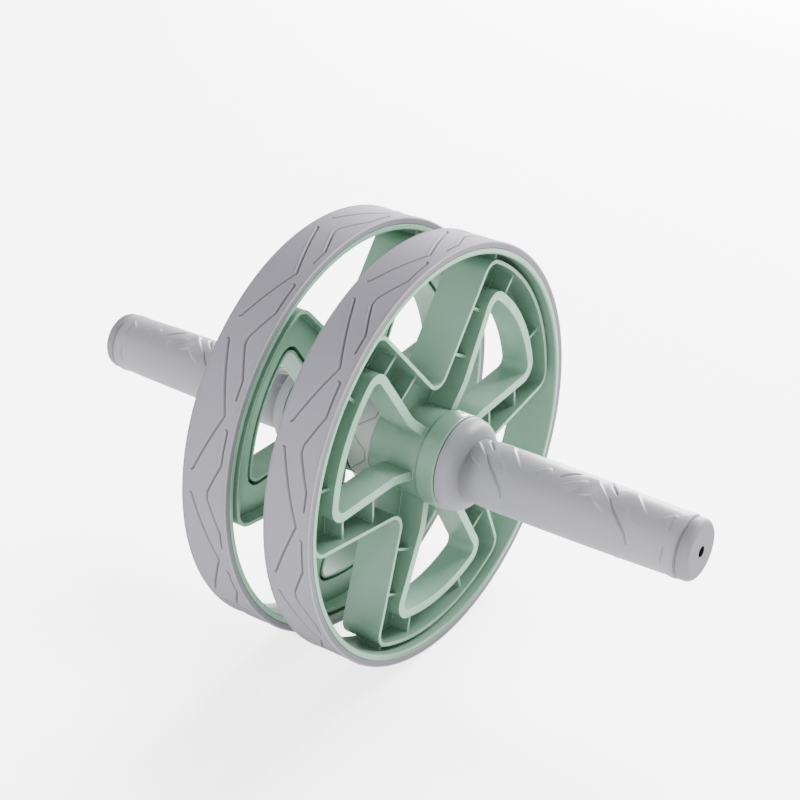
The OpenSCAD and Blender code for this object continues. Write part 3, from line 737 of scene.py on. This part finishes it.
# The edge colour is partly wear and partly a painted highlight; the other mixed-in colours paint
# shade in pockets, grooves and sides, light on open faces along Y, and highlights on marked lips,
# edges and steps
MINT = moulded(
    "mint_satin_plastic", colour=(0.29, 0.47, 0.365), second=(0.255, 0.43, 0.33),
    edge_colour=(0.50, 1.0, 0.71), roughness=0.36, grain_scale=1800, grain_depth=0.03,
    edge_radius=0.42, coat=0.4, edge=1.0, hollow_shade_colour=(0.085, 0.195, 0.12),
    lit_top_colour=(0.42, 0.76, 0.55))
LILAC_RUBBER = moulded(
    "lilac_tread_rubber", colour=(0.41, 0.392, 0.455), second=(0.37, 0.353, 0.413),
    edge_colour=(0.56, 0.54, 0.58), roughness=0.72, grain_scale=2600, grain_depth=0.05,
    edge_radius=0.5, groove_colour=(0.22, 0.215, 0.24), pale_colour=(0.74, 0.725, 0.76),
    hollow_shade_colour=(0.19, 0.20, 0.205), hollow_shade_reach=0.05, specular=0.35)
GRIP_RUBBER = moulded(
    "lilac_grip_rubber", colour=(0.46, 0.443, 0.50), second=(0.43, 0.414, 0.47),
    edge_colour=(0.56, 0.54, 0.58), roughness=0.42, grain_scale=3000, grain_depth=0.04,
    edge_radius=0.3, groove_colour=(0.195, 0.20, 0.21), pale_colour=(0.85, 0.84, 0.87),
    hollow_shade_colour=(0.21, 0.20, 0.225), hollow_shade_reach=0.011, sheen=0.3)
SPACER_PLASTIC = moulded(
    "pale_spacer_plastic", colour=(0.62, 0.63, 0.63), second=(0.57, 0.58, 0.58),
    edge_colour=(0.70, 0.70, 0.70), roughness=0.5, grain_scale=2200, grain_depth=0.03,
    edge_radius=0.4, groove_colour=(0.30, 0.30, 0.31))
CAP_PLASTIC = moulded(
    "lilac_cap_plastic", colour=(0.335, 0.325, 0.362), second=(0.31, 0.30, 0.34),
    edge_colour=(0.50, 0.49, 0.52), roughness=0.5, grain_scale=2200, grain_depth=0.03,
    edge_radius=0.4, hole=CAP_HOLE_RADIUS)
NYLON = moulded(
    "natural_nylon", colour=(0.78, 0.77, 0.72), second=(0.72, 0.71, 0.66),
    edge_colour=(0.82, 0.81, 0.77), roughness=0.38, grain_scale=1500, grain_depth=0.02,
    edge_radius=0.2, subsurface=0.15)
ZINC = moulded(
    "bright_zinc_steel", colour=(0.62, 0.63, 0.65), second=(0.52, 0.53, 0.56),
    edge_colour=(0.72, 0.72, 0.74), roughness=0.3, grain_scale=1200, grain_depth=0.02,
    edge_radius=0.2, metallic=1.0)
DARK_STEEL = moulded(
    "blackened_steel", colour=(0.03, 0.03, 0.032), second=(0.025, 0.025, 0.027),
    edge_colour=(0.08, 0.08, 0.085), roughness=0.45, grain_scale=1200, grain_depth=0.02,
    edge_radius=0.2)


# ---------------------------------------------------------------- pieces

def coat_node(names, material):
    """Gives each named CAD node one material."""
    for name in names:
        slots = NODES[name].data.materials
        slots.clear()
        slots.append(material)


def both(*parts):
    """The right and the left node of each part."""
    return [f"{side}_{part}" for part in parts for side in ("right", "left")]


def dress(obj, material, body, slot, *nodes):
    """Material, body and replaced nodes of a new piece. The slot is not used."""
    obj.data.materials.append(material)
    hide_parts(*nodes)
    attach(obj, body)


coat_node(both("wheel_core", "hub_cover", "handle_core"), MINT)
coat_node(both("end_cap"), CAP_PLASTIC)
coat_node(both("inner_bush", "outer_bush", "thrust_washer"), NYLON)
coat_node(["axle_tube", *both("retaining_ring", "axle_plug")], ZINC)
coat_node(both("end_washer", "end_screw"), DARK_STEEL)

dress(make_tyre("right_tread_tyre", "right_tyre", 0.0), LILAC_RUBBER, "right_wheel",
      "tyre_rubber", "right_tyre")
dress(make_tyre("left_tread_tyre", "left_tyre", FAR_TREAD_TURN), LILAC_RUBBER, "left_wheel",
      "tyre_rubber", "left_tyre")
dress(make_grip("right_faceted_grip", -1, 0.0), GRIP_RUBBER, "handle_bar", "grip_rubber",
      "right_grip")
dress(make_grip("left_faceted_grip", 1, FAR_PATTERN_SHIFT), GRIP_RUBBER, "handle_bar",
      "grip_rubber", "left_grip")
dress(make_spacer("lined_spacer", "centre_spacer"), SPACER_PLASTIC, "handle_bar",
      "grey_plastic", "centre_spacer")


# ---------------------------------------------------------------- floor, light and camera

def grey(value):
    """A colour with that value in red, green and blue."""
    return (value, value, value)


def add_to_scene(name, data):
    """A new object in the scene from its data."""
    obj = bpy.data.objects.new(name, data)
    bpy.context.scene.collection.objects.link(obj)
    return obj


def make_floor():
    """A plain white floor just under the tyres, which glows a little like a lit table."""
    z = CAD_BOX[0][2] - FLOOR_GAP
    corners = [(x * FLOOR_HALF, y * FLOOR_HALF, z) for x, y in ((-1, -1), (1, -1), (1, 1), (-1, 1))]
    mesh = bpy.data.meshes.new("studio_floor")
    mesh.from_pydata(corners, [], [(0, 1, 2, 3)])
    floor = add_to_scene("studio_floor", mesh)
    material = bpy.data.materials.new("pale_floor")
    material.use_nodes = True
    tree = material.node_tree
    shader = tree.nodes["Principled BSDF"]
    shader.inputs["Roughness"].default_value = FLOOR_ROUGHNESS
    shader.inputs["Specular IOR Level"].default_value = FLOOR_SPECULAR
    shader.inputs["Emission Color"].default_value = (1.0, 1.0, 1.0, 1)
    seen = add_node(tree, "ShaderNodeLightPath").outputs["Is Camera Ray"]
    white = add_mix(tree, seen, grey(FLOOR_WHITE), grey(FLOOR_SEEN_WHITE))
    tree.links.new(white, shader.inputs["Base Color"])
    glow = add_math(tree, "MULTIPLY_ADD", seen, FLOOR_SEEN_GLOW - FLOOR_GLOW, FLOOR_GLOW)
    tree.links.new(glow, shader.inputs["Emission Strength"])
    mesh.materials.append(material)
    return floor


def face_origin(light, place):
    """Turns a light so that it looks from a place to the origin."""
    light.rotation_euler = (-Vector(place)).to_track_quat("-Z", "Y").to_euler()


def make_softbox(name, place, size, power):
    """A square soft light that looks at the origin."""
    data = bpy.data.lights.new(name, "AREA")
    data.energy, data.size = power, size
    light = add_to_scene(name, data)
    light.location = place
    face_origin(light, place)


def make_floor_sun(floor):
    """A soft sun that lights only the floor, so that the shadow under the wheels shows."""
    data = bpy.data.lights.new("floor_sun", "SUN")
    data.energy, data.angle = FLOOR_SUN_STRENGTH, math.radians(FLOOR_SUN_ANGLE)
    light = add_to_scene("floor_sun", data)
    face_origin(light, FLOOR_SUN_FROM)
    lit = bpy.data.collections.new("lit_by_floor_sun")
    lit.objects.link(floor)
    light.light_linking.receiver_collection = lit


def make_sky():
    """A white sky whose strength rises with the lean towards its bright side."""
    world = bpy.data.worlds.new("studio")
    world.use_nodes = True
    tree = world.node_tree
    background = tree.nodes["Background"]
    background.inputs["Color"].default_value = (1.0, 1.0, 1.0, 1)
    toward = add_node(tree, "ShaderNodeTexCoord")
    lean = add_node(tree, "ShaderNodeVectorMath",
                    {0: toward.outputs["Generated"], 1: SKY_BRIGHT_SIDE}, operation="DOT_PRODUCT")
    strength = add_range(tree, lean.outputs["Value"], *SKY_LEAN_RANGE, SKY_DIM, SKY_BRIGHT)
    tree.links.new(strength, background.inputs["Strength"])
    bpy.context.scene.world = world


def make_camera():
    """The photograph's camera: back along the view at its distance, moved right and up in its own
    plane, with its focal length measured in pixels of the frame."""
    a, e = math.radians(CAMERA_AZIMUTH), math.radians(CAMERA_ELEVATION)
    back = Vector((math.sin(a) * math.cos(e), -math.cos(a) * math.cos(e), math.sin(e)))
    right = Vector((math.cos(a), math.sin(a), 0.0))
    up = back.cross(right)
    data = bpy.data.cameras.new("photo_camera")
    data.sensor_width = SENSOR_WIDTH
    data.lens = CAMERA_FOCUS / FRAME_PIXELS * SENSOR_WIDTH
    camera = add_to_scene("photo_camera", data)
    turn = Matrix((right, up, back)).transposed().to_4x4()
    turn.translation = back * CAMERA_DISTANCE + right * CAMERA_RIGHT + up * CAMERA_UP
    camera.matrix_world = turn
    bpy.context.scene.camera = camera


make_floor_sun(make_floor())
for softbox in SOFTBOXES:
    make_softbox(*softbox)
make_sky()
make_camera()
